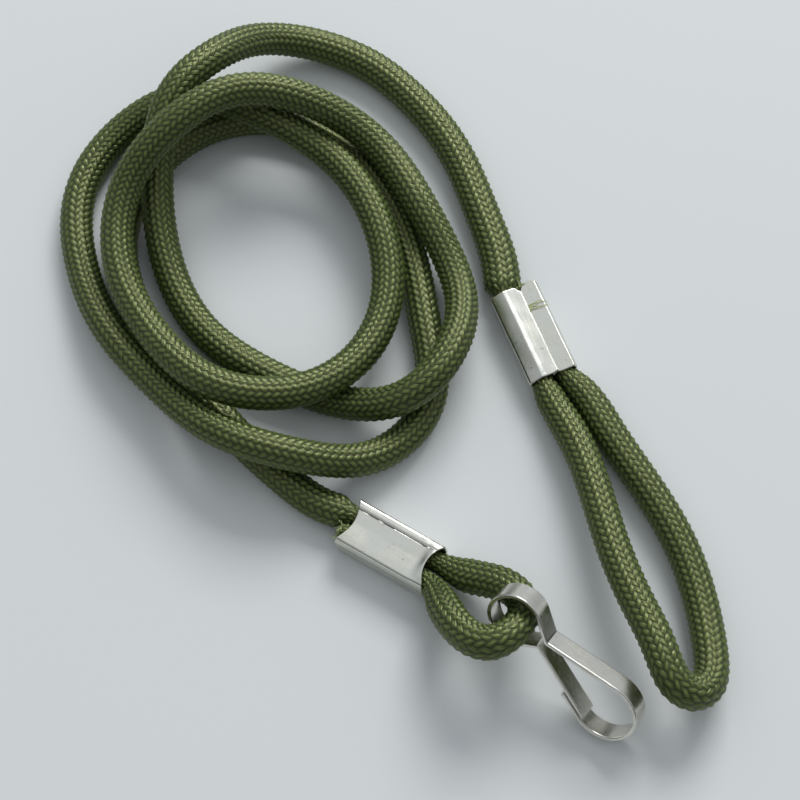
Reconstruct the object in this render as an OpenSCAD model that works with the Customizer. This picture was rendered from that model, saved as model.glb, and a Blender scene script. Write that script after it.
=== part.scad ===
// Lanyard: one braided cord, folded back and crimped at both ends, with a flat spring hook.
// Z is up, and the coiled cord lies on the plane z = 0.

/* [Cord] */
// Diameter of the braided cord
cord_d = 6; // [5:0.25:6]
// Thickness of the braided sheath round the core
sheath_wall = 0.7; // [0.5:0.1:0.9]
// Half of the cord's width where a ferrule grips it
gripped_half_width = 1.8; // [1.6:0.05:1.85]
// Half of the cord's height where a ferrule grips it
gripped_half_height = 2.35; // [2.1:0.05:2.4]

/* [Ferrules] */
// Length of each crimped ferrule
ferrule_length = 17; // [15:0.5:17]
// Thickness of the ferrule's sheet metal
ferrule_wall = 0.5; // [0.4:0.05:0.7]
// Depth of the groove along the seam
seam_depth = 1.1; // [0.5:0.1:1.4]

/* [Hook] */
// Width of the hook's flat strip
strip_width = 3.8; // [3:0.1:4.2]
// Thickness of the hook's flat strip
strip_thickness = 0.7; // [0.5:0.05:0.8]
// Diameter of the eye that holds the cord's end loop
eye_bore_d = 8.2; // [8.2:0.1:8.8]
// Distance from the middle of the eye to the middle of the bend
bend_reach = 20.3; // [19:0.1:20.5]
// Inside diameter of the bend that carries the load
bend_inside_d = 9.9; // [9.4:0.1:10.1]
// Length of the tip that overlaps the gate
tip_length = 4.4; // [3:0.1:5]
// Length of the springy gate
gate_length = 14; // [13:0.1:14.5]

/* [Hidden] */
$fn = 64;

// Sides of the swept cord
cord_sides = 10;
// Room between the core and the sheath round it
core_room = 0.1;

// Each ferrule: middle, heading of its length, and half the distance between the two cords in it
hand_ferrule_middle = [26.5, 5.5, 3];
hand_ferrule_heading = -68;
hook_ferrule_middle = [2, -33.5, 3];
hook_ferrule_heading = -31;
cord_offset = 1.9;

// The hook: middle of its eye, then its heading, its dip towards the bend, and its roll
eye_middle = [22.5, -47.5, 11.3];
hook_heading = -41;
hook_dip = 12;
hook_roll = 58;
// In the hook's own plane, x runs from the eye to the bend and y from the gate to the back
neck_back = [6.2, 0.9];
neck_gate = [5.7, -0.8];
bend_middle = [bend_reach, -1.5];
// Clear gap between the gate and the tip, and between the gate's root and the neck
gate_gap = 0.15;
gate_root_gap = 0.15;
// How far the hook's straight lengths run into its bends, and how far inside the bends' faces
// they lie, so that the strip is one solid with clean joins
strip_overlap = 0.3;
strip_step = 0.02;

eye_mid_r = (eye_bore_d + strip_thickness) / 2;
bend_mid_r = (bend_inside_d + strip_thickness) / 2;

// The cord's route from the tail in the hand loop's ferrule to the tail in the hook loop's ferrule.
// Each point is [x, y, z, grip]: grip is 0 on the free round cord and 1 inside a ferrule.
hand_tail = hand_ferrule_middle + cord_offset * across(hand_ferrule_heading);
hand_stem = hand_ferrule_middle - cord_offset * across(hand_ferrule_heading);
hook_stem = hook_ferrule_middle + cord_offset * across(hook_ferrule_heading);
hook_tail = hook_ferrule_middle - cord_offset * across(hook_ferrule_heading);

hand_loop = [
    [34.5, -4.5, 3, 0.3], [37.5, -9.5, 3, 0], [47.5, -27, 3, 0], [51.5, -36.5, 3, 0],
    [53.5, -46.5, 3.5, 0], [53.9, -54, 5, 0], [53.2, -58, 6, 0], [50.5, -60, 7.5, 0],
    [47.2, -58.7, 9, 0], [45.5, -54, 9.5, 0], [42.5, -46, 8.5, 0], [38.5, -34.5, 7, 0],
    [32, -12, 4, 0], [29, -6, 3, 0.3]
];
coil = [
    [21.5, 15.5, 3, 0.3], [18.5, 28.5, 3, 0], [13.5, 42, 3, 0], [5, 54, 3, 0], [-6, 62.5, 3, 0],
    [-20, 63.5, 7, 0], [-29.5, 55.5, 14, 0], [-36, 48.5, 14.5, 0], [-39.5, 35, 9, 0], [-38, 21, 4, 0],
    [-32, 8, 3, 0], [-21, -1.5, 4, 0], [-8, -7, 3.5, 0], [5, -8.5, 9, 0], [13, 1.5, 9.5, 0],
    [13, 16.5, 5.5, 0], [7, 28.5, 8.5, 0], [-1, 41, 8.5, 0], [-13, 46, 14.5, 0],
    [-25.5, 45.5, 18.5, 0], [-36.5, 38.5, 18, 0], [-44.5, 29.5, 12, 0], [-45, 15.5, 9.5, 0],
    [-38.5, 2.5, 10.5, 0], [-28, -7.5, 12, 0], [-14.5, -8.5, 10.5, 0], [-3, -0.5, 8, 0],
    [1.5, 12.5, 7, 0], [-1, 26.5, 8, 0], [-9, 38.5, 8, 0], [-21, 45.5, 10.5, 0], [-35, 50.5, 8, 0],
    [-47.5, 45.5, 3.5, 0], [-54, 32.5, 3, 0], [-52.5, 18.5, 3, 0], [-46.5, 5, 5.5, 0],
    [-37.5, -5.5, 6.5, 0], [-27, -15, 9.5, 0], [-13.5, -19.5, 9.5, 0], [-0.5, -17.5, 4, 0],
    [8.5, -7.5, 3, 0], [8, 7, 3, 0], [5.5, 21, 3, 0], [-0, 34.5, 3, 0], [-9, 44.5, 3, 0],
    [-21.5, 49, 3, 0], [-34, 45.5, 3, 0], [-43, 35.5, 3, 0], [-46, 23.5, 3, 0], [-42, 9.5, 3, 0],
    [-33.5, -2, 3, 0], [-24.5, -13, 3, 0], [-14.5, -22.5, 3, 0], [-7, -27, 3, 0.3]
];
hook_loop = [
    [14.5, -39, 4.5, 0], [19.3, -40.6, 7, 0], [23.8, -44.8, 9.5, 0.2], [23.5, -47.8, 11, 0.2],
    [21.5, -51, 13, 0.2], [17.7, -53.2, 13, 0], [13.3, -50.3, 11, 0], [10.5, -45, 7.5, 0]
];
route = concat(
    gripped(hand_tail, hand_ferrule_heading, 1), hand_loop, gripped(hand_stem, hand_ferrule_heading, -1),
    coil, gripped(hook_stem, hook_ferrule_heading, 1), hook_loop,
    gripped(hook_tail, hook_ferrule_heading, -1)
);

function along(heading) = [cos(heading), sin(heading), 0];
function across(heading) = [-sin(heading), cos(heading), 0];
function unit(v) = v / norm(v);
function mix(a, b, t) = a + (b - a) * t;
function place(point) = [point[0], point[1], point[2]];

// The two route points where the cord passes through a ferrule, forwards or backwards
function gripped(middle, heading, way) =
    [for (end = [-way, way]) concat(middle + end * ferrule_length / 2 * along(heading), [1])];

// Direction of the cord at point i of its route
function heading_at(i) =
    let (before = place(route[max(i - 1, 0)]), here = place(route[i]))
    let (after = place(route[min(i + 1, len(route) - 1)]))
    unit((i > 0 ? unit(here - before) : [0, 0, 0]) + (i < len(route) - 1 ? unit(after - here) : [0, 0, 0]));

// One ring of the swept cord, drawn in by inset, with a corner at its lowest point
function ring(i, inset) =
    let (forward = heading_at(i), side = unit(cross([0, 0, 1], forward)), up = cross(forward, side))
    let (wide = mix(cord_d / 2, gripped_half_width, route[i][3]) - inset)
    let (tall = mix(cord_d / 2, gripped_half_height, route[i][3]) - inset)
    [for (k = [0.5 : cord_sides - 0.5])
        let (turn = 360 * k / cord_sides) place(route[i]) + wide * cos(turn) * side + tall * sin(turn) * up];

function rings(inset) = [for (i = [0 : len(route) - 1], point = ring(i, inset)) point];

// Triangles of the wall between the rings, from corner number first, facing out or in
function wall(first, outward) =
    [for (i = [0 : len(route) - 2], k = [0 : cord_sides - 1])
        let (a = first + i * cord_sides + k, b = first + i * cord_sides + (k + 1) % cord_sides)
        let (c = b + cord_sides, d = a + cord_sides)
        each (outward ? [[a, d, c], [a, c, b]] : [[a, c, d], [a, b, c]])];

// Triangles that join the outer and inner rings at one end of the sheath
function rim(outer, inner, at_start) =
    [for (k = [0 : cord_sides - 1])
        let (next = (k + 1) % cord_sides)
        each (at_start
            ? [[outer + k, outer + next, inner + next], [outer + k, inner + next, inner + k]]
            : [[outer + k, inner + next, outer + next], [outer + k, inner + k, inner + next]])];

// The braided sheath: one hollow tube along the whole route
module cord_sheath() {
    last_ring = (len(route) - 1) * cord_sides;
    inner = len(route) * cord_sides;
    color("darkolivegreen")
    polyhedron(
        points = concat(rings(0), rings(sheath_wall)),
        faces = concat(wall(0, true), wall(inner, false), rim(0, inner, true),
            rim(last_ring, inner + last_ring, false))
    );
}

// The straight-fibre core that fills the sheath
module cord_core() {
    last_ring = (len(route) - 1) * cord_sides;
    color("olivedrab")
    polyhedron(
        points = rings(sheath_wall + core_room),
        faces = concat(wall(0, true), [[for (k = [0 : cord_sides - 1]) k]],
            [[for (k = [cord_sides - 1 : -1 : 0]) last_ring + k]])
    );
}

// Upright slot with round ends: one cord's room in a ferrule, or one lobe of its outside
module lobe(half_width, half_height) {
    for (end = [-1, 1])
        translate([0, end * (half_height - half_width)]) circle(r = half_width);
    square([2 * half_width, 2 * (half_height - half_width)], center = true);
}

// Section of a crimped ferrule: two lobes with a seam groove above and a flat back below
module ferrule_section() {
    room_w = gripped_half_width + 0.1;
    room_h = gripped_half_height + 0.1;
    difference() {
        union() {
            for (side = [-1, 1])
                translate([side * cord_offset, 0]) lobe(room_w + ferrule_wall, room_h + ferrule_wall);
            translate([-cord_offset, -room_h - ferrule_wall])
                square([2 * cord_offset, 2 * (room_h + ferrule_wall) - seam_depth]);
        }
        for (side = [-1, 1])
            translate([side * cord_offset, 0]) lobe(room_w, room_h);
    }
}

module ferrule(middle, heading) {
    translate(middle) rotate([90, 0, heading + 90])
        linear_extrude(height = ferrule_length, center = true) ferrule_section();
}

// The ferrule next to the hand loop, seam upwards
module hand_loop_ferrule() {
    color("silver") ferrule(hand_ferrule_middle, hand_ferrule_heading);
}

// The ferrule next to the hook, seam downwards
module hook_loop_ferrule() {
    color("silver")
    translate(hook_ferrule_middle) rotate([0, 0, hook_ferrule_heading]) rotate([180, 0, 0])
        ferrule([0, 0, 0], 0);
}

// Flat strip on edge between two points of the hook's plane, run a little into its neighbours
module straight_strip(start, finish) {
    reach = norm(finish - start) + 2 * strip_overlap;
    thick = strip_thickness - 2 * strip_step;
    translate(start) rotate(atan2(finish[1] - start[1], finish[0] - start[0]))
        translate([-strip_overlap, -thick / 2]) square([reach, thick]);
}

// Flat strip bent to a mid radius, between two directions seen from its centre
module bent_strip(middle, mid_r, from, to) {
    far = 4 * mid_r;
    steps = 6;
    translate(middle) intersection() {
        difference() {
            circle(r = mid_r + strip_thickness / 2);
            circle(r = mid_r - strip_thickness / 2);
        }
        polygon(concat([[0, 0]],
            [for (k = [0 : steps]) let (turn = mix(from, to, k / steps)) far * [cos(turn), sin(turn)]]));
    }
}

// Direction of the line from a point that touches a circle, on its left (1) or right (-1)
function touch(point, middle, r, side) =
    atan2(middle[1] - point[1], middle[0] - point[0]) + side * asin(r / norm(middle - point));

back_heading = touch(neck_back, bend_middle, bend_mid_r, 1);
back_end = bend_middle + bend_mid_r * [cos(back_heading + 90), sin(back_heading + 90)];
gate_mid_r = bend_mid_r - strip_thickness - gate_gap;
gate_heading = touch(neck_gate, bend_middle, gate_mid_r, -1);
tip_start = bend_middle + bend_mid_r * [cos(gate_heading - 90), sin(gate_heading - 90)];
tip_end = tip_start - tip_length * [cos(gate_heading), sin(gate_heading)];
// Directions, from the middle of the eye, where the two sides of the neck leave its circle
eye_back_turn = atan2(neck_back[1], neck_back[0]) + acos(eye_mid_r / norm(neck_back));
eye_gate_turn = atan2(neck_gate[1], neck_gate[0]) - acos(eye_mid_r / norm(neck_gate));

module in_hook_plane() {
    translate(eye_middle) rotate([hook_roll, hook_dip, hook_heading])
        linear_extrude(height = strip_width, center = true) children();
}

// The eye, the neck, the back and the bend, all one strip
module hook_frame() {
    eye_back = eye_mid_r * [cos(eye_back_turn), sin(eye_back_turn)];
    eye_gate = eye_mid_r * [cos(eye_gate_turn), sin(eye_gate_turn)];
    color("gainsboro") in_hook_plane() {
        bent_strip([0, 0], eye_mid_r, eye_back_turn, eye_gate_turn + 360);
        straight_strip(eye_back, neck_back);
        straight_strip(eye_gate, neck_gate);
        translate(neck_back) circle(d = strip_thickness);
        straight_strip(neck_back, back_end);
        bent_strip(bend_middle, bend_mid_r, gate_heading - 90, back_heading + 90);
        straight_strip(tip_end, tip_start);
    }
}

// The gate: the springy free end of the strip, closed against the inside of the tip
module hook_gate() {
    forward = [cos(gate_heading), sin(gate_heading)];
    root = neck_gate + (strip_thickness / 2 + strip_overlap + gate_root_gap) * forward;
    free_end = neck_gate + (gate_length - strip_overlap) * forward;
    color("gainsboro") in_hook_plane() straight_strip(root, free_end);
}

cord_sheath();
cord_core();
hand_loop_ferrule();
hook_loop_ferrule();
hook_frame();
hook_gate();
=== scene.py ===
"""A braided lanyard cord, crimped into a loop at each end, with a flat spring hook.

The shapes are in millimetres, and MM turns them into metres. The camera, the lamp and the
materials are in metres.
"""

import math

import bmesh
import bpy
import numpy as np
from mathutils import Euler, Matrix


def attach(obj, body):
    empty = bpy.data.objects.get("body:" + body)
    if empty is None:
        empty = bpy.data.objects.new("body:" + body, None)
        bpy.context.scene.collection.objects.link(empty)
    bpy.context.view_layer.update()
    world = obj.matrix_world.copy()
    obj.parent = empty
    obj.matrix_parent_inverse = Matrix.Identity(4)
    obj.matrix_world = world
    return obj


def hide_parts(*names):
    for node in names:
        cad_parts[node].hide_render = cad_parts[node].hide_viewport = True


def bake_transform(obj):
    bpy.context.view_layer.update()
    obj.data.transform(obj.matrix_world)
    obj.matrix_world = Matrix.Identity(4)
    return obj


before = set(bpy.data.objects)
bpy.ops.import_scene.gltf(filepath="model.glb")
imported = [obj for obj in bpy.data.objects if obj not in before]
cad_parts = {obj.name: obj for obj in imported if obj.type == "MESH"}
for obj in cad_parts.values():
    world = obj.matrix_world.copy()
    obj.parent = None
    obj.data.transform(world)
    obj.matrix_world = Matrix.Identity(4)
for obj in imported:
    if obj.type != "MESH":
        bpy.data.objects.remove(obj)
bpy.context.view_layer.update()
scene = bpy.context.scene

MM = 0.001
UP = np.array([0, 0, 1.0])
CORD_D = 6.0

# ---------------------------------------------------------------- the route
FERRULE_LENGTH = 17.0
CORD_OFFSET = 1.9  # of each cord from the middle of its ferrule
GRIP_POINTS = 6  # of the route on each pass through a ferrule
HAND_MIDDLE, HAND_HEADING = (26.5, 5.5, 3), -68
HOOK_MIDDLE, HOOK_HEADING = (2, -33.5, 3), -31

# Points of the route as (x, y, z, how tightly the cord is held there, from 0 to 1)
HAND_LOOP = [
    (34.5, -4.5, 3, 0.3), (37.5, -9.5, 3, 0), (47.5, -27, 3, 0), (51.5, -36.5, 3, 0),
    (53.5, -46.5, 3.5, 0), (53.9, -54, 5, 0), (53.2, -58, 6, 0), (50.5, -60, 7.5, 0),
    (47.2, -58.7, 9, 0), (45.5, -54, 9.5, 0), (42.5, -46, 8.5, 0), (38.5, -34.5, 7, 0),
    (32, -12, 4, 0), (29, -6, 3, 0.3),
]
COIL = [
    (21.5, 15.5, 3, 0.3), (18.5, 28.5, 3, 0), (13.5, 42, 3, 0), (5, 54, 3, 0), (-6, 62.5, 3, 0),
    (-20, 63.5, 7, 0), (-29.5, 55.5, 14, 0), (-36, 48.5, 14.5, 0), (-39.5, 35, 9, 0), (-38, 21, 4, 0),
    (-32, 8, 3, 0), (-21, -1.5, 4, 0), (-8, -7, 3.5, 0), (5, -8.5, 9, 0), (13, 1.5, 9.5, 0),
    (13, 16.5, 5.5, 0), (7, 28.5, 8.5, 0), (-1, 41, 8.5, 0), (-13, 46, 14.5, 0),
    (-25.5, 45.5, 18.5, 0), (-36.5, 38.5, 18, 0), (-44.5, 29.5, 12, 0), (-45, 15.5, 9.5, 0),
    (-38.5, 2.5, 10.5, 0), (-28, -7.5, 12, 0), (-14.5, -8.5, 10.5, 0), (-3, -0.5, 8, 0),
    (1.5, 12.5, 7, 0), (-1, 26.5, 8, 0), (-9, 38.5, 8, 0), (-21, 45.5, 10.5, 0), (-35, 50.5, 8, 0),
    (-47.5, 45.5, 3.5, 0), (-54, 32.5, 3, 0), (-52.5, 18.5, 3, 0), (-46.5, 5, 5.5, 0),
    (-37.5, -5.5, 6.5, 0), (-27, -15, 9.5, 0), (-13.5, -19.5, 9.5, 0), (-0.5, -17.5, 4, 0),
    (8.5, -7.5, 3, 0), (8, 7, 3, 0), (5.5, 21, 3, 0), (-0, 34.5, 3, 0), (-9, 44.5, 3, 0),
    (-21.5, 49, 3, 0), (-34, 45.5, 3, 0), (-43, 35.5, 3, 0), (-46, 23.5, 3, 0), (-42, 9.5, 3, 0),
    (-33.5, -2, 3, 0), (-24.5, -13, 3, 0), (-14.5, -22.5, 3, 0), (-7, -27, 3, 0.3),
]
HOOK_LOOP = [
    (14.5, -39, 4.5, 0), (19.3, -40.6, 7, 0), (23.8, -44.8, 9.5, 0.2), (23.5, -47.8, 11, 0.2),
    (21.5, -51, 13, 0.2), (17.7, -53.2, 13, 0), (13.3, -50.3, 11, 0), (10.5, -45, 7.5, 0),
]


def unit(v):
    return v / np.linalg.norm(v, axis=-1, keepdims=True)


def along(heading):
    turn = math.radians(heading)
    return np.array([math.cos(turn), math.sin(turn), 0.0])


def across(heading):
    turn = math.radians(heading)
    return np.array([-math.sin(turn), math.cos(turn), 0.0])


def gripped(middle, heading, side, way):
    """Points where the cord passes straight through a ferrule, forwards or backwards."""
    centre = np.array(middle, float) + side * CORD_OFFSET * across(heading)
    return [
        (*(centre + end * way * FERRULE_LENGTH / 2 * along(heading)), 1.0)
        for end in np.linspace(-1, 1, GRIP_POINTS)
    ]


parts = [
    gripped(HAND_MIDDLE, HAND_HEADING, 1, 1),
    HAND_LOOP,
    gripped(HAND_MIDDLE, HAND_HEADING, -1, -1),
    COIL,
    gripped(HOOK_MIDDLE, HOOK_HEADING, 1, 1),
    HOOK_LOOP,
    gripped(HOOK_MIDDLE, HOOK_HEADING, -1, -1),
]
route = np.array([p for part in parts for p in part], float)
first = np.cumsum([0] + [len(part) for part in parts])


def smooth_curve(points, per_span):
    """A natural cubic spline through the points, and the row of each point in it."""
    knots = np.concatenate([[0], np.cumsum(np.linalg.norm(np.diff(points[:, :3], axis=0), axis=1))])
    h, n = np.diff(knots), len(points)
    a, b = np.eye(n), np.zeros((n, 3))
    for i in range(1, n - 1):
        a[i, i - 1 : i + 2] = h[i - 1], 2 * (h[i - 1] + h[i]), h[i]
        slope_before = (points[i, :3] - points[i - 1, :3]) / h[i - 1]
        b[i] = 6 * ((points[i + 1, :3] - points[i, :3]) / h[i] - slope_before)
    m = np.linalg.solve(a, b)
    t = np.arange(per_span)[:, None] / per_span
    out = []
    for i in range(n - 1):
        p, q, span = points[i, :3], points[i + 1, :3], h[i]
        out.append(
            p * (1 - t) + q * t
            + span**2 / 6 * (((1 - t) ** 3 - (1 - t)) * m[i] + (t**3 - t) * m[i + 1])
        )
    out.append(points[-1:, :3])
    return np.concatenate(out), np.arange(n) * per_span


def arc(points):
    """Length along a line at each of its points."""
    return np.concatenate([[0], np.cumsum(np.linalg.norm(np.diff(points, axis=0), axis=1))])


def relaxed(points, spread, step=0.25):
    """The line with its sharpest bends eased over that length, as a springy cord eases them."""
    s = arc(points)
    even = np.arange(0, s[-1], step)
    reach_out = int(4 * spread / step)
    far = np.arange(-reach_out, reach_out + 1) * step
    weights = np.exp(-((far / spread) ** 2) / 2)
    weights /= weights.sum()
    eased = []
    for k in range(3):
        value = np.interp(even, s, points[:, k])
        before = 2 * value[0] - value[reach_out:0:-1]
        after = 2 * value[-1] - value[-2 : -reach_out - 2 : -1]
        longer = np.concatenate([before, value, after])
        eased.append(np.interp(s, even, np.convolve(longer, weights, "valid")))
    return np.stack(eased, axis=1)


PER_SPAN = 40  # points of the smooth curve between two of the route's
EASE = 2.4
line, rows = smooth_curve(route, PER_SPAN)
line = relaxed(line, EASE)
line[:, 2] = np.maximum(line[:, 2], CORD_D / 2)
reach = arc(line)
length = reach[-1]
# Where the cord is inside a ferrule, as lengths along it
inside = [(reach[rows[first[k]]], reach[rows[first[k + 1] - 1]]) for k in (0, 2, 4, 6)]


def at(s):
    return np.stack([np.interp(s, reach, line[:, k]) for k in range(3)], axis=-1)


def ease(t):
    t = np.clip(t, 0, 1)
    return t * t * (3 - 2 * t)


# How tightly the cord is held: 1 in a ferrule and 0 where it is free
held = np.interp(np.arange(len(line)), rows, route[:, 3])
# Where the coil starts and ends, the cord swells to its full size within SINGLE_EXIT of the
# ferrule's mouth, and is free from there to FREE_TO
SINGLE_EXIT, FREE_TO = 2.5, 25
for mouth, way in ((inside[1][1], 1), (inside[2][0], -1)):
    past = (reach - mouth) * way
    near = (past >= 0) & (past < FREE_TO)
    held[near] = (1 - ease(past / SINGLE_EXIT))[near]

# ---------------------------------------------------------------- the camera
TARGET = np.array([0.0035, -0.0055, 0.0])
ELEVATION = math.radians(67)
DISTANCE = 0.350
camera = bpy.data.objects.new("camera", bpy.data.cameras.new("camera"))
scene.collection.objects.link(camera)
camera.data.lens = 91
camera.data.sensor_width = 36
camera.location = TARGET + DISTANCE * np.array([0, -math.cos(ELEVATION), math.sin(ELEVATION)])
camera.rotation_euler = Euler((math.pi / 2 - ELEVATION, 0, 0))
camera.data.clip_start = 0.01
camera.data.clip_end = 10
scene.camera = camera


# ---------------------------------------------------------------- meshes
def add_mesh(name, points, faces, coordinates=None, face_out=True):
    """A smooth piece from points in millimetres, with texture coordinates for each face corner."""
    mesh = bpy.data.meshes.new(name)
    corners = [[int(v) for v in f] for f in faces]
    mesh.from_pydata((np.asarray(points, float) * MM).tolist(), [], corners)
    if coordinates is not None:
        layer = mesh.uv_layers.new(name="lattice")
        layer.data.foreach_set("uv", np.asarray(coordinates, np.float32).ravel())
    if face_out:
        work = bmesh.new()
        work.from_mesh(mesh)
        bmesh.ops.recalc_face_normals(work, faces=work.faces)
        work.to_mesh(mesh)
        work.free()
    mesh.polygons.foreach_set("use_smooth", [True] * len(mesh.polygons))
    mesh.validate()
    mesh.update()
    piece = bpy.data.objects.new(name, mesh)
    scene.collection.objects.link(piece)
    return piece


def tube_faces(rings, sides):
    """Quads between rings of points that are stored ring by ring, and a face on each end."""
    faces = []
    for i in range(rings - 1):
        for k in range(sides):
            here, beside = i * sides + k, i * sides + (k + 1) % sides
            faces.append([here, beside, beside + sides, here + sides])
    return faces + [list(range(sides)), list(range((rings - 1) * sides, rings * sides))]


# The braid: 16 yarns each way round the cord, every yarn over two and under two
YARNS = 16
LAY = 21.5  # length of cord in which a yarn goes once round
RING_STEP = LAY / (4 * YARNS)
AROUND = 2 * YARNS
RELIEF = 0.42
BESIDE = 0.3  # height of the edge between two stitches
TANGENT_SPAN = 0.3  # each way along the cord, for its direction
HIDDEN_STEP, HIDDEN_AFTER, HIDDEN_BEFORE = 1.0, 2, 3  # inside a ferrule, past its two ends

# Half the cord's width and height in a ferrule
GRIPPED_WIDE, GRIPPED_TALL = 1.8, 2.35
# The cord is wider for a while past the hand ferrule
PLUMP_AT, PLUMP = np.array([-2, 1, 15, 120]), [1.0, 1.16, 1.09, 1.0]
# Rings that close each cut end, as (depth inside it, share of the radius)
END_RINGS = ((0.0, 0.72), (1.2, 0.70))


def ring_places():
    """Lengths along the cord where its rings are: close together, but not inside a ferrule."""
    places = [0.0]
    while places[-1] < length - RING_STEP * 1.5:
        hidden = any(a + HIDDEN_AFTER < places[-1] < b - HIDDEN_BEFORE for a, b in inside)
        places.append(places[-1] + (HIDDEN_STEP if hidden else RING_STEP))
    return np.array(places + [length])


def frames(places):
    """Centre, two directions that turn with the cord, and its level side and top."""
    ahead = at(np.minimum(places + TANGENT_SPAN, length))
    tangent = unit(ahead - at(np.maximum(places - TANGENT_SPAN, 0)))
    turning = np.zeros_like(tangent)
    now = np.cross(tangent[0], UP)
    for i, t in enumerate(tangent):
        now = now - now.dot(t) * t
        now /= np.linalg.norm(now)
        turning[i] = now
    side = unit(np.cross(UP, tangent))
    return at(places), turning, np.cross(tangent, turning), side, np.cross(tangent, side)


def pillow(a, b):
    """Height of the braid, from 0 in its valleys to 1 on top of a stitch."""
    fa, fb = a % 1, b % 1
    cell = (np.floor(a) + np.floor(b)) % 4
    first_way = cell < 2
    wide = np.where(first_way, 2 * fa - 1, 2 * fb - 1)
    long = np.where(first_way, cell + fb - 1, cell - 3 + fa)
    height = (1 - wide**2) * (1 - long**2)
    beside = ((cell == 1) & (fa == 0) & (fb > 0)) | ((cell == 3) & (fb == 0) & (fa > 0))
    return np.where(beside, BESIDE, height)


def squeezed(direction, side, up, wide, tall):
    """A point of the cord's outline in that direction from its middle, flattened where held."""
    return (
        (direction * side).sum(-1, keepdims=True) * wide * side
        + (direction * up).sum(-1, keepdims=True) * tall * up
    )


def swept(places, turns, radius):
    """Rings of points round the cord. turns and radius are one row for each ring."""
    centre, e1, e2, side, up = frames(places)
    grip = np.interp(places, reach, held)
    full = np.interp(places, inside[1][1] + PLUMP_AT, PLUMP)
    wide = (CORD_D / 2 * full * (1 - grip) + GRIPPED_WIDE * grip)[:, None, None]
    tall = (CORD_D / 2 * (1 - grip) + GRIPPED_TALL * grip)[:, None, None]
    direction = np.cos(turns)[..., None] * e1[:, None] + np.sin(turns)[..., None] * e2[:, None]
    flat = squeezed(direction, side[:, None], up[:, None], wide, tall)
    return centre[:, None] + flat * radius[..., None]


def make_sheath():
    """The braid as a height field on a lattice of diamonds, closed at both cut ends."""
    places = ring_places()
    n = np.arange(len(places))[:, None]
    m = 2 * np.arange(AROUND)[None] + n % 2
    a, b = (m - n) / 4, (m + n) / 4
    radius = 1 - RELIEF * (1 - pillow(a, b)) / (CORD_D / 2)
    points = swept(places, m * math.pi / AROUND, radius).reshape(-1, 3)
    index = np.arange(len(points)).reshape(len(places), AROUND)
    faces, lattice = [], []
    step = {"left": (0, 0), "right": (0.5, 0.5), "upper": (0, 0.5), "lower": (0.5, 0)}
    for i in range(len(places)):
        k = np.arange(AROUND)
        beside = k if i % 2 == 0 else (k + 1) % AROUND
        corner = {"left": index[i, k], "right": index[i, (k + 1) % AROUND]}
        order = ["right", "left"]
        if i > 0:
            corner["lower"] = index[i - 1, beside]
            order = ["lower", *order]
        if i < len(places) - 1:
            corner["upper"] = index[i + 1, beside]
            order = [*order[:-1], "upper", order[-1]]
        faces += np.stack([corner[c] for c in order], axis=1).tolist()
        at_left = np.stack([a[i], b[i]], axis=1)
        lattice.append(np.stack([at_left + step[c] for c in order], axis=1).reshape(-1, 2))
    # Each cut end turns in to a narrower ring and is closed a little way inside
    for i, inward in ((0, 1), (len(places) - 1, -1)):
        rim = list(index[i])
        for depth, share in END_RINGS:
            place, turns = places[i] + depth * inward, m[i] * math.pi / AROUND
            ring = swept(np.array([place]), np.array([turns]), np.full((1, AROUND), share))
            ring = ring.reshape(-1, 3)
            start = len(points)
            points = np.concatenate([points, ring])
            new = list(range(start, start + AROUND))
            for k in range(AROUND):
                j = (k + 1) % AROUND
                quad = [rim[j], rim[k], new[k], new[j]]
                faces.append(quad if inward > 0 else quad[::-1])
                lattice.append(np.zeros((4, 2)))
            rim = new
        faces.append(rim[::-1] if inward > 0 else rim)
        lattice.append(np.zeros((AROUND, 2)))
    return add_mesh("braided_sheath", points, faces, np.concatenate(lattice), face_out=False)


sheath = make_sheath()
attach(sheath, "lanyard")
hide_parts("cord_sheath")


# ---------------------------------------------------------------- the core and the frayed ends
CORE_SHARE = 0.66  # of the cord's radius
STRANDS, STRAND_RELIEF = 12, 0.05
# The core bulges out of each cut end, as (share of its width, distance past the end)
DOME = ((1, 0.4), (0.8, 0.75), (0.4, 0.9))


def make_core(sides=48, step=2.0):
    """The bundle of straight strands inside the sheath, which shows at the cord's cut ends."""
    places = np.append(np.arange(0, length, step), length)
    turns = np.tile(np.arange(sides) * 2 * math.pi / sides, (len(places), 1))
    share = CORE_SHARE * (1 + STRAND_RELIEF * np.abs(np.cos(turns * STRANDS / 2)))
    rings = swept(places, turns, share)
    outward = [-unit(at(0.5) - at(0.0)), unit(at(length) - at(length - 0.5))]
    domes = []
    for end, way in zip((0, -1), outward):
        middle = at(places[end])
        domes.append([middle + (rings[end] - middle) * s + way * d for s, d in DOME])
    rings = np.concatenate([np.array(domes[0][::-1]), rings, np.array(domes[1])])
    return add_mesh("core_strands", rings.reshape(-1, 3), tube_faces(len(rings), sides))


def fibre(path, radius, sides=5, tip=0.55):
    """One thin fibre along a path, tapered to that share at its tip: its points and faces."""
    tangent = unit(np.gradient(path, axis=0))
    askew = [0.3, 0.5, 0.81]
    one = unit(np.cross(tangent, askew))
    two = np.cross(tangent, one)
    turns = np.arange(sides) * 2 * math.pi / sides
    taper = np.linspace(1, tip, len(path))[:, None, None]
    rings = path[:, None] + radius * taper * (
        np.cos(turns)[None, :, None] * one[:, None] + np.sin(turns)[None, :, None] * two[:, None]
    )
    return rings.reshape(-1, 3), tube_faces(len(path), sides)


def join(bits):
    """All the points and faces of several small meshes as one."""
    points, faces, start = [], [], 0
    for p, f in bits:
        points.append(p)
        faces += [[v + start for v in face] for face in f]
        start += len(p)
    return np.concatenate(points), faces


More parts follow.
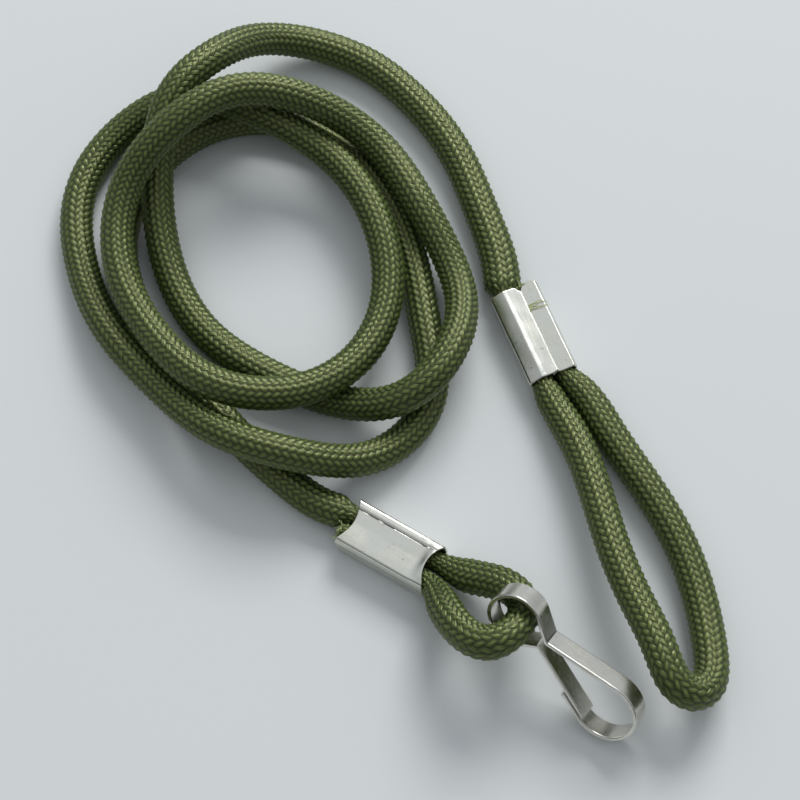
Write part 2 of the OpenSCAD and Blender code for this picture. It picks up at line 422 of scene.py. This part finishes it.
random = np.random.default_rng(11)
TUFT_WIDE, TUFT_TALL = 1.55, 2.0  # half the patch that a tuft's fibres start from
SCATTER, SPREAD, CURL = 0.45, 0.35, 0.5
ROOT_DEPTH, FLOOR_GAP = 0.3, 0.15
SEAM_ACROSS, SEAM_ALONG = 0.75, -3.9  # where the loose fibres come out of the seam
FLAP_EDGE = 3.7  # from the middle of the ferrule to its flap's fold


def tuft(end, outward, count, low, high):
    """Frayed fibres that stand out of a cut end of the cord."""
    side = unit(np.cross(UP, outward))
    bits = []
    for _ in range(count):
        turn, share = random.uniform(0, 2 * math.pi), math.sqrt(random.uniform(0, 1))
        from_end = TUFT_WIDE * math.cos(turn) * side + TUFT_TALL * math.sin(turn) * UP
        root = end + share * from_end
        lean = outward + SCATTER * random.normal(size=3) * [1, 1, 0.6]
        lean = lean + SPREAD * share * unit(root - end + 1e-6)
        curl = random.normal(size=3) * CURL
        t = np.linspace(0, 1, 6)[:, None] * random.uniform(low, high)
        path = root - ROOT_DEPTH * outward + unit(lean) * t + curl * t * t * 0.25
        path[:, 2] = np.maximum(path[:, 2], FLOOR_GAP)
        bits.append(fibre(path, random.uniform(0.035, 0.06)))
    return bits


def caught(count):
    """Loose fibres caught in the seam of the hand loop's ferrule, lying across its right flap."""
    bits = []
    for _ in range(count):
        t = np.linspace(0, 1, 12)
        over = SEAM_ACROSS + t * random.uniform(1.6, 4.0)
        forward = SEAM_ALONG + random.normal() * 0.45 + random.normal() * 0.5 * t
        forward = forward + random.normal() * 1.1 * t * (1 - t)
        # The flap's face rises to its fold, and the side falls away past that
        on_flap, past_it = 2.44 + 0.145 * (over - 1.0), 2.83 - 0.35 * (over - FLAP_EDGE)
        up = np.where(over < FLAP_EDGE, on_flap, past_it) + 0.09
        up = up + 0.5 * t * (1 - t) * random.uniform(0, 1)
        path = (
            np.array(HAND_MIDDLE, float) + forward[:, None] * along(HAND_HEADING)
            + over[:, None] * across(HAND_HEADING) + up[:, None] * UP
        )
        bits.append(fibre(path, random.uniform(0.035, 0.055)))
    return bits


hand_out = -unit(at(1.0) - at(0.0))
hook_out = unit(at(length) - at(length - 1.0))
hand_fibres = tuft(at(0.0), hand_out, 45, 0.6, 1.6) + caught(9)
hand_tuft = add_mesh("hand_tail_fibres", *join(hand_fibres))
hook_tuft = add_mesh("hook_tail_fibres", *join(tuft(at(length), hook_out, 40, 0.6, 1.8)))
core = make_core()
for piece in (core, hand_tuft, hook_tuft):
    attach(piece, "lanyard")
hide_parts("cord_core")


# ---------------------------------------------------------------- the ferrules
SHEET = 0.5
THINNEST = 0.02  # half the sheet's thickness at its very edge
SIDE_STATIONS = 30  # points along each face of the sheet
EDGE_STEPS = 4  # points round half of a cut edge
CLOSE = 0.03  # from a rounded edge to the next point, which keeps the shading of the flats flat
CLOSE_SHARE = 0.01  # the same for a fold, as a share of the way to the next corner
TURN_STEP = 0.2  # most radians between two points of a fold
MOST_OF_A_SIDE = 0.49  # that a fold may take up
UV_A_MM = 0.1  # texture coordinates of the metal for each millimetre


def rounded(corners, gap=0.35):
    """A line through corners (x, y, radius), each rounded, with points no further apart than gap."""
    out = []
    for i, (x, y, r) in enumerate(corners):
        p = np.array([x, y], float)
        if r == 0 or i in (0, len(corners) - 1):
            out.append(p[None])
            continue
        a, b = np.array(corners[i - 1][:2], float), np.array(corners[i + 1][:2], float)
        u, v = unit(a - p), unit(b - p)
        half = math.acos(np.clip(u @ v, -1, 1)) / 2
        room = MOST_OF_A_SIDE * min(np.linalg.norm(a - p), np.linalg.norm(b - p))
        cut = min(r / math.tan(half), room)
        r = cut * math.tan(half)
        centre = p + unit(u + v) * r / math.sin(half)
        start, finish = p + u * cut - centre, p + v * cut - centre
        sweep = math.pi - 2 * half
        t = np.linspace(0, 1, max(3, math.ceil(sweep / TURN_STEP) + 1))[:, None]
        swung = np.sin((1 - t) * sweep) * start + np.sin(t * sweep) * finish
        turn = centre + swung / math.sin(sweep)
        before, after = turn[:1] + CLOSE_SHARE * (a - p), turn[-1:] + CLOSE_SHARE * (b - p)
        out.append(np.concatenate([before, turn, after]))
    out = np.concatenate(out)
    dense = [out[:1]]
    for a, b in zip(out[:-1], out[1:]):
        steps = max(1, math.ceil(np.linalg.norm(b - a) / gap))
        dense.append(a + (b - a) * (np.arange(1, steps + 1)[:, None] / steps))
    out = np.concatenate(dense)
    keep = np.append(True, np.linalg.norm(np.diff(out, axis=0), axis=1) > 1e-4)
    return out[keep]


def normals(path):
    """Unit normals of a flat line, on its left."""
    t = unit(np.gradient(path, axis=0))
    return np.stack([-t[:, 1], t[:, 0]], axis=1)


def add_metal(name, grid, uv, place):
    """A closed tube of sheet metal from its rings of points, which place puts into the scene."""
    rings, sides = grid.shape[:2]
    faces = tube_faces(rings, sides)
    flat_uv = np.array(uv).reshape(-1, 2)
    coordinates = np.concatenate([flat_uv[f] for f in faces])
    return add_mesh(name, place(grid.reshape(-1, 3)), faces, coordinates)


def make_ferrule(name, middle, heading, section, cut, shape):
    """Sheet metal wrapped round two cords.

    cut gives how far each end of the sheet is cut back, and shape how far its points move.
    """
    path = rounded(section)
    outwards = normals(path)
    # Round the two long cut edges of the sheet by thinning its last half thickness
    thick = np.full(len(path), SHEET / 2)
    quarter = np.linspace(0, math.pi / 2, EDGE_STEPS)
    lead = np.append(SHEET / 2 * (1 - np.cos(quarter)), SHEET / 2 + CLOSE)
    extra_thick = np.append(SHEET / 2 * np.sin(quarter), SHEET / 2)
    first_way, last_way = unit(path[0] - path[1]), unit(path[-1] - path[-2])
    path = np.concatenate([
        path[0] + first_way * (SHEET / 2 - lead)[:, None], path[1:-1],
        path[-1] + last_way * (SHEET / 2 - lead[::-1])[:, None],
    ])
    outwards = np.concatenate([
        np.repeat(outwards[:1], len(lead), 0), outwards[1:-1], np.repeat(outwards[-1:], len(lead), 0),
    ])
    thick = np.concatenate([extra_thick, thick[1:-1], extra_thick[::-1]])
    thick = np.maximum(thick, THINNEST)
    s = arc(path)
    bend = np.linspace(-math.pi / 2, math.pi / 2, EDGE_STEPS + 3)[1:-1]
    grid, uv = [], []
    for i, p in enumerate(path):
        low, high = -FERRULE_LENGTH / 2 + cut(p, -1), FERRULE_LENGTH / 2 - cut(p, 1)
        h = thick[i]
        u = np.linspace(low + h + CLOSE, high - h - CLOSE, SIDE_STATIONS)
        u = np.concatenate([[low + h], u, [high - h]])
        ring = [(x, h) for x in u]
        ring += [(high - h + h * math.cos(a), -h * math.sin(a)) for a in bend]
        ring += [(x, -h) for x in u[::-1]]
        ring += [(low + h - h * math.cos(a), h * math.sin(a)) for a in bend]
        ring = np.array(ring)
        flat = p + outwards[i] * ring[:, 1:]
        grid.append(np.column_stack([ring[:, 0], flat + shape(p, ring[:, 0], s[i])]))
        uv.append(np.column_stack([ring[:, 0], np.full(len(ring), s[i])]) * UV_A_MM)

    def place(local):
        points = np.array(middle, float) + local[:, :1] * along(heading)
        return points + local[:, 1:2] * across(heading) + local[:, 2:] * UP

    return add_metal(name, np.array(grid), uv, place)


# Sections across each ferrule, as (across, up, fold radius) along the middle of the sheet
HAND_SECTION = [
    (0.66, 2.65, 0), (-0.6, 2.65, 1.5), (-1.5, 2.67, 0.6), (-2.15, 2.73, 0.2), (-4.25, 1.4, 0.4),
    (-3.45, -1.7, 0.8), (-2.8, -2.7, 0.9), (3.2, -2.7, 0.9), (4.0, -1.7, 0.8), (4.2, 1.7, 0.6),
    (3.75, 2.55, 0.15), (1.0, 2.16, 0.5), (0.1, 1.76, 0),
]
HOOK_SECTION = [
    (0.35, -1.45, 0), (-0.25, -1.7, 0.3), (-1.2, -2.6, 0.6), (-3.1, -2.7, 0.8), (-4.0, -1.7, 0.8),
    (-4.05, 1.2, 0.7), (-3.75, 2.3, 0.3), (-2.6, 2.31, 2.0), (0, 2.26, 6.0), (2.3, 2.38, 0.6),
    (2.85, 2.66, 0.2), (3.75, 2.62, 0.4), (4.05, 1.0, 0.8), (4.0, -1.7, 0.8), (3.2, -2.7, 0.8),
    (1.3, -2.6, 0.6), (0.6, -2.0, 0),
]
HAND_LONGER = 0.6  # than its CAD node, at the end by the loop
SEAM_AT, SEAM_NOTCH_WIDE = 0.7, 0.5
SEAM_NOTCH, BACK_ARC = {-1: 1.1, 1: 0.2}, {-1: 1.2, 1: 1.7}  # how deep each end is cut
ARC_HALF, FLARE_HALF = 4.1, 4.2  # half the width of the hook ferrule's arcs and flare
# Heights above which a section's points belong to the cut, and to the face that moves
HAND_CUT_ABOVE, HOOK_CUT_ABOVE, HAND_FACE_ABOVE, HOOK_FACE_ABOVE = 0.9, 0.5, 0, 1.2
# Each flare, as (height, where it starts, length), at the mouth by the loop and at the other
MOUTH_FLARE, BACK_FLARE = (1.1, 5.0, 2.2), (0.15, 6.8, 1.6)


def ripple(p, u, s, slow, sideways, fast):
    """Small waves over a sheet that isn't quite flat."""
    return 0.012 * np.sin(u * slow + p[0] * sideways) + 0.004 * np.sin(u * fast + s)


def flared(u, height, start, span):
    return height * ease((u - start) / span)


def hand_cut(p, end):
    """The sheet's corners are cut away a little where the seam meets each end."""
    longer = 0.0 if end < 0 else -HAND_LONGER
    if p[1] < HAND_CUT_ABOVE:
        return longer
    return longer + SEAM_NOTCH[end] * math.exp(-(((p[0] - SEAM_AT) / SEAM_NOTCH_WIDE) ** 2))


def hand_shape(p, u, s):
    """The flaps on top ripple a little, and the sheet sways a little sideways."""
    up = ripple(p, u, s, 0.6, 0.8, 1.7) if p[1] > HAND_FACE_ABOVE else 0 * u
    return np.column_stack([0.02 * np.sin(u * 0.7 + s), up])


def hook_cut(p, end):
    """Both ends of the smooth back are cut as shallow arcs."""
    if p[1] < HOOK_CUT_ABOVE:
        return 0.0
    return BACK_ARC[end] * max(0.0, 1 - (p[0] / ARC_HALF) ** 2)


def hook_shape(p, u, s):
    """The back flares up at the mouth by the loop and a little at the other, and ripples."""
    if p[1] <= HOOK_FACE_ABOVE:
        return np.zeros((len(u), 2))
    flare = flared(u, *MOUTH_FLARE) * max(0.0, 1 - (p[0] / FLARE_HALF) ** 2)
    flare = flare + flared(-u, *BACK_FLARE)
    return np.column_stack([0 * u, flare + ripple(p, u, s, 0.5, 0.6, 1.9)])


hand_ferrule = make_ferrule(
    "crimped_ferrule_hand", HAND_MIDDLE, HAND_HEADING, HAND_SECTION, hand_cut, hand_shape
)
hook_ferrule = make_ferrule(
    "crimped_ferrule_hook", HOOK_MIDDLE, HOOK_HEADING, HOOK_SECTION, hook_cut, hook_shape
)
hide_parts("hand_loop_ferrule")
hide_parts("hook_loop_ferrule")
for piece in (hand_ferrule, hook_ferrule):
    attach(piece, "lanyard")

# ---------------------------------------------------------------- the hook
EYE_MIDDLE = np.array([22.5, -47.5, 11.3])
HOOK_TURNS = Euler([math.radians(a) for a in (58, 12, -41)])
STRIP_WIDE, STRIP_THICK = 3.8, 0.7
EYE_R = (8.2 + STRIP_THICK) / 2
BEND_R = (9.9 + STRIP_THICK) / 2
NECK_BACK, NECK_GATE = np.array([6.2, 0.9]), np.array([5.7, -0.8])
NECK_RADIUS = 0.55
BEND_MIDDLE = np.array([20.3, -1.5])
TIP_LENGTH, GATE_LENGTH, GATE_GAP = 4.4, 14.0, 0.15
TIP_FLARE, TIP_LIFT = 0.5, 0.12  # the tip's last bit turns out of line by that lift
SPLIT_PAST_NECK = 0.9  # towards the eye, where the gate's piece ends
STRIP_CORNER = 0.2
STRIP_GAP, CIRCLE_GAP, LEAST_STEP = 0.4, 0.3, 0.05  # between points along the strip
# Rings that round off each cut end, as (share of the thickness, distance past the end)
STRIP_CAP = ((0.97, 0.07), (0.86, 0.14), (0.6, 0.17))
CAP_NARROWS = 0.18  # how much the strip's width shrinks for each part of its thickness
CAP_ROOM = 0.1  # left for the cap at the gate's end

turned = np.array(HOOK_TURNS.to_matrix())


def direction(turn):
    """The unit vector at that angle in the hook's own plane."""
    return np.array([math.cos(turn), math.sin(turn)])


def touch(point, middle, r, side):
    """Direction of the line from a point that touches a circle, on its left (1) or right (-1)."""
    away = middle - point
    return math.atan2(away[1], away[0]) + side * math.asin(r / np.linalg.norm(away))


back_turn = touch(NECK_BACK, BEND_MIDDLE, BEND_R, 1)
gate_turn = touch(NECK_GATE, BEND_MIDDLE, BEND_R - STRIP_THICK - GATE_GAP, -1)
tip_start = BEND_MIDDLE + BEND_R * direction(gate_turn - math.pi / 2)
tip_end = tip_start - TIP_LENGTH * direction(gate_turn)
eye_back = math.atan2(NECK_BACK[1], NECK_BACK[0]) + math.acos(EYE_R / np.linalg.norm(NECK_BACK))
eye_gate = math.atan2(NECK_GATE[1], NECK_GATE[0]) - math.acos(EYE_R / np.linalg.norm(NECK_GATE))


def circle(middle, r, start, finish):
    """Points of an arc of a circle."""
    steps = math.ceil(abs(finish - start) * r / CIRCLE_GAP)
    return [middle + r * direction(a) for a in np.linspace(start, finish, steps + 1)]


def plain(points):
    """Points of a line as corners that aren't rounded."""
    return [(p[0], p[1], 0) for p in points]


def make_strip(name, path):
    """A flat strip with rounded edges, bent along a line in the hook's own plane."""
    keep = [0]
    for i in range(1, len(path)):
        if np.linalg.norm(path[i] - path[keep[-1]]) > LEAST_STEP:
            keep.append(i)
    path = path[keep]
    side = normals(path)
    s = arc(path)
    outline = []
    for sx, sy, start in ((1, 1, 0), (-1, 1, 1), (-1, -1, 2), (1, -1, 3)):
        turn = np.linspace(start, start + 1, 4) * math.pi / 2
        out = np.column_stack([np.cos(turn), np.sin(turn)])
        middle = [sx * (STRIP_THICK / 2 - STRIP_CORNER), sy * (STRIP_WIDE / 2 - STRIP_CORNER)]
        bend = np.array(middle) + STRIP_CORNER * out
        before = CLOSE * out[:1] @ [[0, -1], [1, 0]]
        after = CLOSE * out[-1:] @ [[0, 1], [-1, 0]]
        outline += [bend[:1] + before, bend, bend[-1:] + after]
    outline = np.concatenate(outline)
    rings, uv = [], []
    for i, p in enumerate(path):
        flat = p + side[i] * outline[:, :1]
        rings.append(np.column_stack([flat, outline[:, 1]]))
        uv.append(np.column_stack([np.full(len(outline), s[i]), outline[:, 1]]) * UV_A_MM)
    for end, inner in ((0, 1), (-1, -2)):
        way = unit(path[end] - path[inner])
        centre = np.append(path[end], 0)
        caps = []
        for share, forward in STRIP_CAP:
            narrower = [share, share, 1 - (1 - share) * CAP_NARROWS]
            ring = centre + (rings[end] - centre) * narrower
            ring[:, :2] += way * forward
            caps.append(ring)
        cap_uv = [np.array(uv[end])] * len(caps)
        if end == 0:
            rings, uv = caps[::-1] + rings, cap_uv + uv
        else:
            rings, uv = rings + caps, uv + cap_uv
    return add_metal(name, np.array(rings), uv, lambda points: EYE_MIDDLE + points @ turned.T)


gate_way, gate_left = direction(gate_turn), direction(gate_turn + math.pi / 2)
flare = tip_end - TIP_FLARE * gate_way - TIP_LIFT * gate_left
split = NECK_GATE + SPLIT_PAST_NECK * unit(EYE_R * direction(eye_gate) - NECK_GATE)
frame_line = rounded(
    plain([flare, tip_end])
    + plain(circle(BEND_MIDDLE, BEND_R, gate_turn - math.pi / 2, back_turn + math.pi / 2))
    + [(*NECK_BACK, NECK_RADIUS)]
    + plain(circle(np.zeros(2), EYE_R, eye_back, eye_gate + 2 * math.pi))
    + plain([split]),
    gap=STRIP_GAP,
)
gate_end = NECK_GATE + (GATE_LENGTH - CAP_ROOM) * gate_way
gate_corners = plain([split]) + [(*NECK_GATE, NECK_RADIUS)] + plain([gate_end])
gate_line = rounded(gate_corners, gap=STRIP_GAP)
hook_frame = make_strip("bent_hook_strip", frame_line)
hook_gate = make_strip("springy_gate_strip", gate_line)
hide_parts("hook_frame")
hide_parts("hook_gate")
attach(hook_frame, "hook")


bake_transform(hook_gate)


# ---------------------------------------------------------------- materials
class Shade:
    """A node material, with short forms for the nodes that its patterns use."""

    def __init__(self, name, **inputs):
        self.material = bpy.data.materials.new(name)
        self.material.use_nodes = True
        self.tree = self.material.node_tree
        self.shader = self.tree.nodes["Principled BSDF"]
        for key, value in inputs.items():
            self.shader.inputs[key.replace("_", " ")].default_value = value

    def node(self, kind, **settings):
        made = self.tree.nodes.new(kind)
        for key, value in settings.items():
            setattr(made, key, value)
        return made

    def feed(self, socket, value):
        if isinstance(value, bpy.types.NodeSocket):
            self.tree.links.new(value, socket)
        else:
            socket.default_value = value

    def math(self, operation, *values):
        made = self.node("ShaderNodeMath", operation=operation)
        for socket, value in zip(made.inputs, values):
            self.feed(socket, value)
        return made.outputs[0]

    def blend(self, share, a, b, mode="MIX"):
        made = self.node("ShaderNodeMix", data_type="RGBA", blend_type=mode)
        for index, value in ((0, share), (6, a), (7, b)):
            self.feed(made.inputs[index], value)
        return made.outputs[2]

    def choose(self, test, yes, no):
        """yes where test is 1 and no where it is 0."""
        return self.math("MULTIPLY_ADD", test, self.math("SUBTRACT", yes, no), no)

    def scaled(self, value, low, high, to_low, to_high):
        made = self.node("ShaderNodeMapRange")
        for socket, v in zip(made.inputs, (value, low, high, to_low, to_high)):
            self.feed(socket, v)
        return made.outputs[0]

    def noise(self, scale, detail, vector=None, roughness=0.55):
        made = self.node("ShaderNodeTexNoise")
        made.inputs["Scale"].default_value = scale
        made.inputs["Detail"].default_value = detail
        made.inputs["Roughness"].default_value = roughness
        place = vector or self.node("ShaderNodeTexCoord").outputs["Object"]
        self.feed(made.inputs["Vector"], place)
        return made.outputs["Fac"]

    def coordinates(self):
        """The two texture coordinates of the mesh."""
        made = self.node("ShaderNodeSeparateXYZ")
        self.feed(made.inputs[0], self.node("ShaderNodeUVMap", uv_map="lattice").outputs[0])
        return made.outputs[0], made.outputs[1]

    def vector(self, x, y, z):
        made = self.node("ShaderNodeCombineXYZ")
        for socket, value in zip(made.inputs, (x, y, z)):
            self.feed(socket, value)
        return made.outputs[0]

    def bump(self, height, distance, strength):
        made = self.node("ShaderNodeBump")
        made.inputs["Strength"].default_value = strength
        made.inputs["Distance"].default_value = distance
        self.feed(made.inputs["Height"], height)
        self.feed(self.shader.inputs["Normal"], made.outputs[0])

    def colour(self, value):
        self.feed(self.shader.inputs["Base Color"], value)

    def on(self, *pieces):
        for piece in pieces:
            piece.data.materials.clear()
            piece.data.materials.append(self.material)


def rgb(red, green, blue):
    """A colour from its display values, 0 to 255."""
    def linear(c):
        c /= 255
        return c / 12.92 if c <= 0.04045 else ((c + 0.055) / 1.055) ** 2.4
    return (linear(red), linear(green), linear(blue), 1.0)


def braid_material():
    """Green filament yarns, plaited over two and under two."""
    m = Shade("braided_yarn", Roughness=0.31)
    m.shader.inputs["Specular IOR Level"].default_value = 1.0
    m.shader.inputs["Specular Tint"].default_value = rgb(242, 248, 182)
    a, b = m.coordinates()
    fa, fb = m.math("FRACT", a), m.math("FRACT", b)
    ia, ib = m.math("FLOOR", a), m.math("FLOOR", b)
    # Which quarter of the pattern this is: 0 or 1 for a yarn of the first way, 2 or 3 for the other
    cell = m.math("FLOORED_MODULO", m.math("ADD", m.math("ADD", ia, ib), 0.01), 4.0)
    first_way = m.math("LESS_THAN", cell, 1.5)
    # Places on a stitch: across it from -1 to 1, and along it from -1 to 1
    wide = m.math("MULTIPLY_ADD", m.choose(first_way, fa, fb), 2.0, -1.0)
    long_first = m.math("ADD", cell, m.math("SUBTRACT", fb, 1.0))
    long_second = m.math("ADD", cell, m.math("SUBTRACT", fa, 3.0))
    long = m.choose(first_way, long_first, long_second)
    crown = m.math("SUBTRACT", 1.0, m.math("POWER", m.math("ABSOLUTE", wide), 2.6))
    dive = m.math("SUBTRACT", 1.0, m.math("POWER", m.math("ABSOLUTE", long), 2.0))
    height = m.math("MULTIPLY", crown, dive)
    # A number for each yarn, which makes its shade a little different
    yarn_first = m.math("FLOORED_MODULO", ia, YARNS)
    yarn_second = m.math("ADD", m.math("FLOORED_MODULO", ib, YARNS), 40.0)
    each = m.node("ShaderNodeTexWhiteNoise", noise_dimensions="1D")
    m.feed(each.inputs["W"], m.choose(first_way, yarn_first, yarn_second))
    # Fine filaments along each yarn, with a slight twist
    twist = m.math("MULTIPLY_ADD", long, 1.6, m.math("MULTIPLY", wide, 11.0))
    filaments = m.math("MULTIPLY_ADD", m.math("SINE", twist), 0.5, 0.5)
    grain = m.noise(9000.0, 2.0)
    worn = m.noise(140.0, 3.0)
    # The colour follows each stitch's height as painted shade and light: dark in the valleys between
    # stitches, lighter on their crowns.
    deep, mid, top = rgb(18, 25, 12), rgb(56, 71, 35), rgb(93, 109, 56)
    colour = m.blend(m.scaled(height, 0.05, 0.6, 0.0, 1.0), deep, mid)
    colour = m.blend(m.scaled(height, 0.5, 0.98, 0.0, 0.9), colour, top)
    shade = m.scaled(each.outputs["Value"], 0, 1, 0.9, 1.08)
    shade = m.math("ADD", shade, m.scaled(worn, 0.3, 0.7, -0.08, 0.08))
    shade = m.math("ADD", shade, m.scaled(filaments, 0, 1, -0.07, 0.07))
    shade = m.math("ADD", shade, m.scaled(grain, 0.3, 0.7, -0.05, 0.05))
    m.colour(m.blend(1.0, colour, m.vector(shade, shade, shade), "MULTIPLY"))
    relief = m.math("ADD", m.math("MULTIPLY", height, 0.75), m.math("MULTIPLY", filaments, 0.16))
    relief = m.math("ADD", relief, m.math("MULTIPLY", grain, 0.10))
    m.bump(relief, 0.00014, 0.9)
    return m


def fibre_material(name, deep, pale):
    """Straight fibres, paler than the braid."""
    m = Shade(name, Roughness=0.6, Sheen_Weight=0.3, Sheen_Roughness=0.4)
    streak = m.noise(2500.0, 2.0)
    m.colour(m.blend(m.scaled(streak, 0.3, 0.7, 0.0, 1.0), deep, pale))
    m.bump(streak, 0.00005, 0.8)
    return m


def metal_material(name, tint, roughness, tarnish):
    """Nickel-plated steel with fine drawn lines, faint scratches and a little tarnish."""
    m = Shade(name, Metallic=1.0)
    u, v = m.coordinates()

    def drawn(along_it, across_it, seed, detail, roughness):
        stretched = m.math("MULTIPLY", u, along_it), m.math("MULTIPLY", v, across_it)
        return m.noise(1.0, detail, m.vector(*stretched, seed), roughness)

    lines = drawn(6.0, 260.0, 0.5, 3.0, 0.6)
    scratch = drawn(30.0, 70.0, 3.7, 4.0, 0.7)
    cloud = m.noise(260.0, 3.0)
    spots = m.noise(900.0, 2.0)
    colour = m.blend(m.scaled(cloud, 0.35, 0.75, 0.0, 1.0), tint, tarnish)
    colour = m.blend(m.scaled(spots, 0.66, 0.74, 0.0, 0.35), colour, rgb(120, 112, 98))
    m.colour(colour)
    rough = m.scaled(cloud, 0.3, 0.7, roughness - 0.05, roughness + 0.07)
    rough = m.math("ADD", rough, m.scaled(lines, 0.35, 0.65, -0.03, 0.05))
    m.feed(m.shader.inputs["Roughness"], rough)
    relief = m.math("ADD", m.math("MULTIPLY", lines, 0.5), m.math("MULTIPLY", scratch, 0.5))
    m.bump(relief, 0.00002, 0.5)
    return m


def floor_material():
    """Pale matt paper."""
    m = Shade("pale_paper", Roughness=0.85)
    patches = m.scaled(m.noise(3.0, 2.0), 0.3, 0.7, 0.0, 1.0)
    m.colour(m.blend(patches, (0.72, 0.745, 0.745, 1), (0.74, 0.765, 0.765, 1)))
    return m


# ---------------------------------------------------------------- the stage
scene.view_settings.view_transform = "Standard"
world = bpy.data.worlds.new("studio")
scene.world = world
world.use_nodes = True
sky = world.node_tree
background = sky.nodes["Background"]
background.inputs["Color"].default_value = (0.91, 0.955, 1.0, 1)
# A pale room: brightest high up on the far side, and dim near the floor on the near side
lit = sky.nodes.new("ShaderNodeVectorMath")
lit.operation = "DOT_PRODUCT"
sky.links.new(sky.nodes.new("ShaderNodeTexCoord").outputs["Generated"], lit.inputs[0])
lit.inputs[1].default_value = (0.08, 0.50, 0.86)
fade = sky.nodes.new("ShaderNodeMapRange")
sky.links.new(lit.outputs["Value"], fade.inputs["Value"])
for socket, value in (("From Min", -0.1), ("From Max", 0.9), ("To Min", 0.13), ("To Max", 0.70)):
    fade.inputs[socket].default_value = value
sky.links.new(fade.outputs[0], background.inputs["Strength"])
key = bpy.data.objects.new("key", bpy.data.lights.new("key", "AREA"))
scene.collection.objects.link(key)
key.data.shape = "RECTANGLE"
key.data.size, key.data.size_y = 0.8, 0.65
key.data.energy = 15.0
key.location = (0.35, 1.15, 0.98)
key.rotation_euler = (-key.location).to_track_quat("-Z", "Y").to_euler()

FLOOR_HALF = 2500
floor_corners = [(x * FLOOR_HALF, y * FLOOR_HALF, 0) for x, y in ((-1, -1), (1, -1), (1, 1), (-1, 1))]
floor = add_mesh("floor", floor_corners, [[0, 1, 2, 3]], face_out=False)
floor_material().on(floor)
braid_material().on(sheath)
fibre_material("core_fibres", rgb(78, 92, 48), rgb(150, 162, 102)).on(core)
fibre_material("frayed_fibres", rgb(168, 182, 112), rgb(218, 224, 172)).on(hand_tuft, hook_tuft)
ferrule_nickel = metal_material("ferrule_nickel", rgb(226, 226, 218), 0.21, rgb(214, 213, 200))
ferrule_nickel.on(hand_ferrule, hook_ferrule)
hook_nickel = metal_material("hook_nickel", rgb(222, 221, 214), 0.2, rgb(206, 203, 192))
hook_nickel.on(hook_frame, hook_gate)
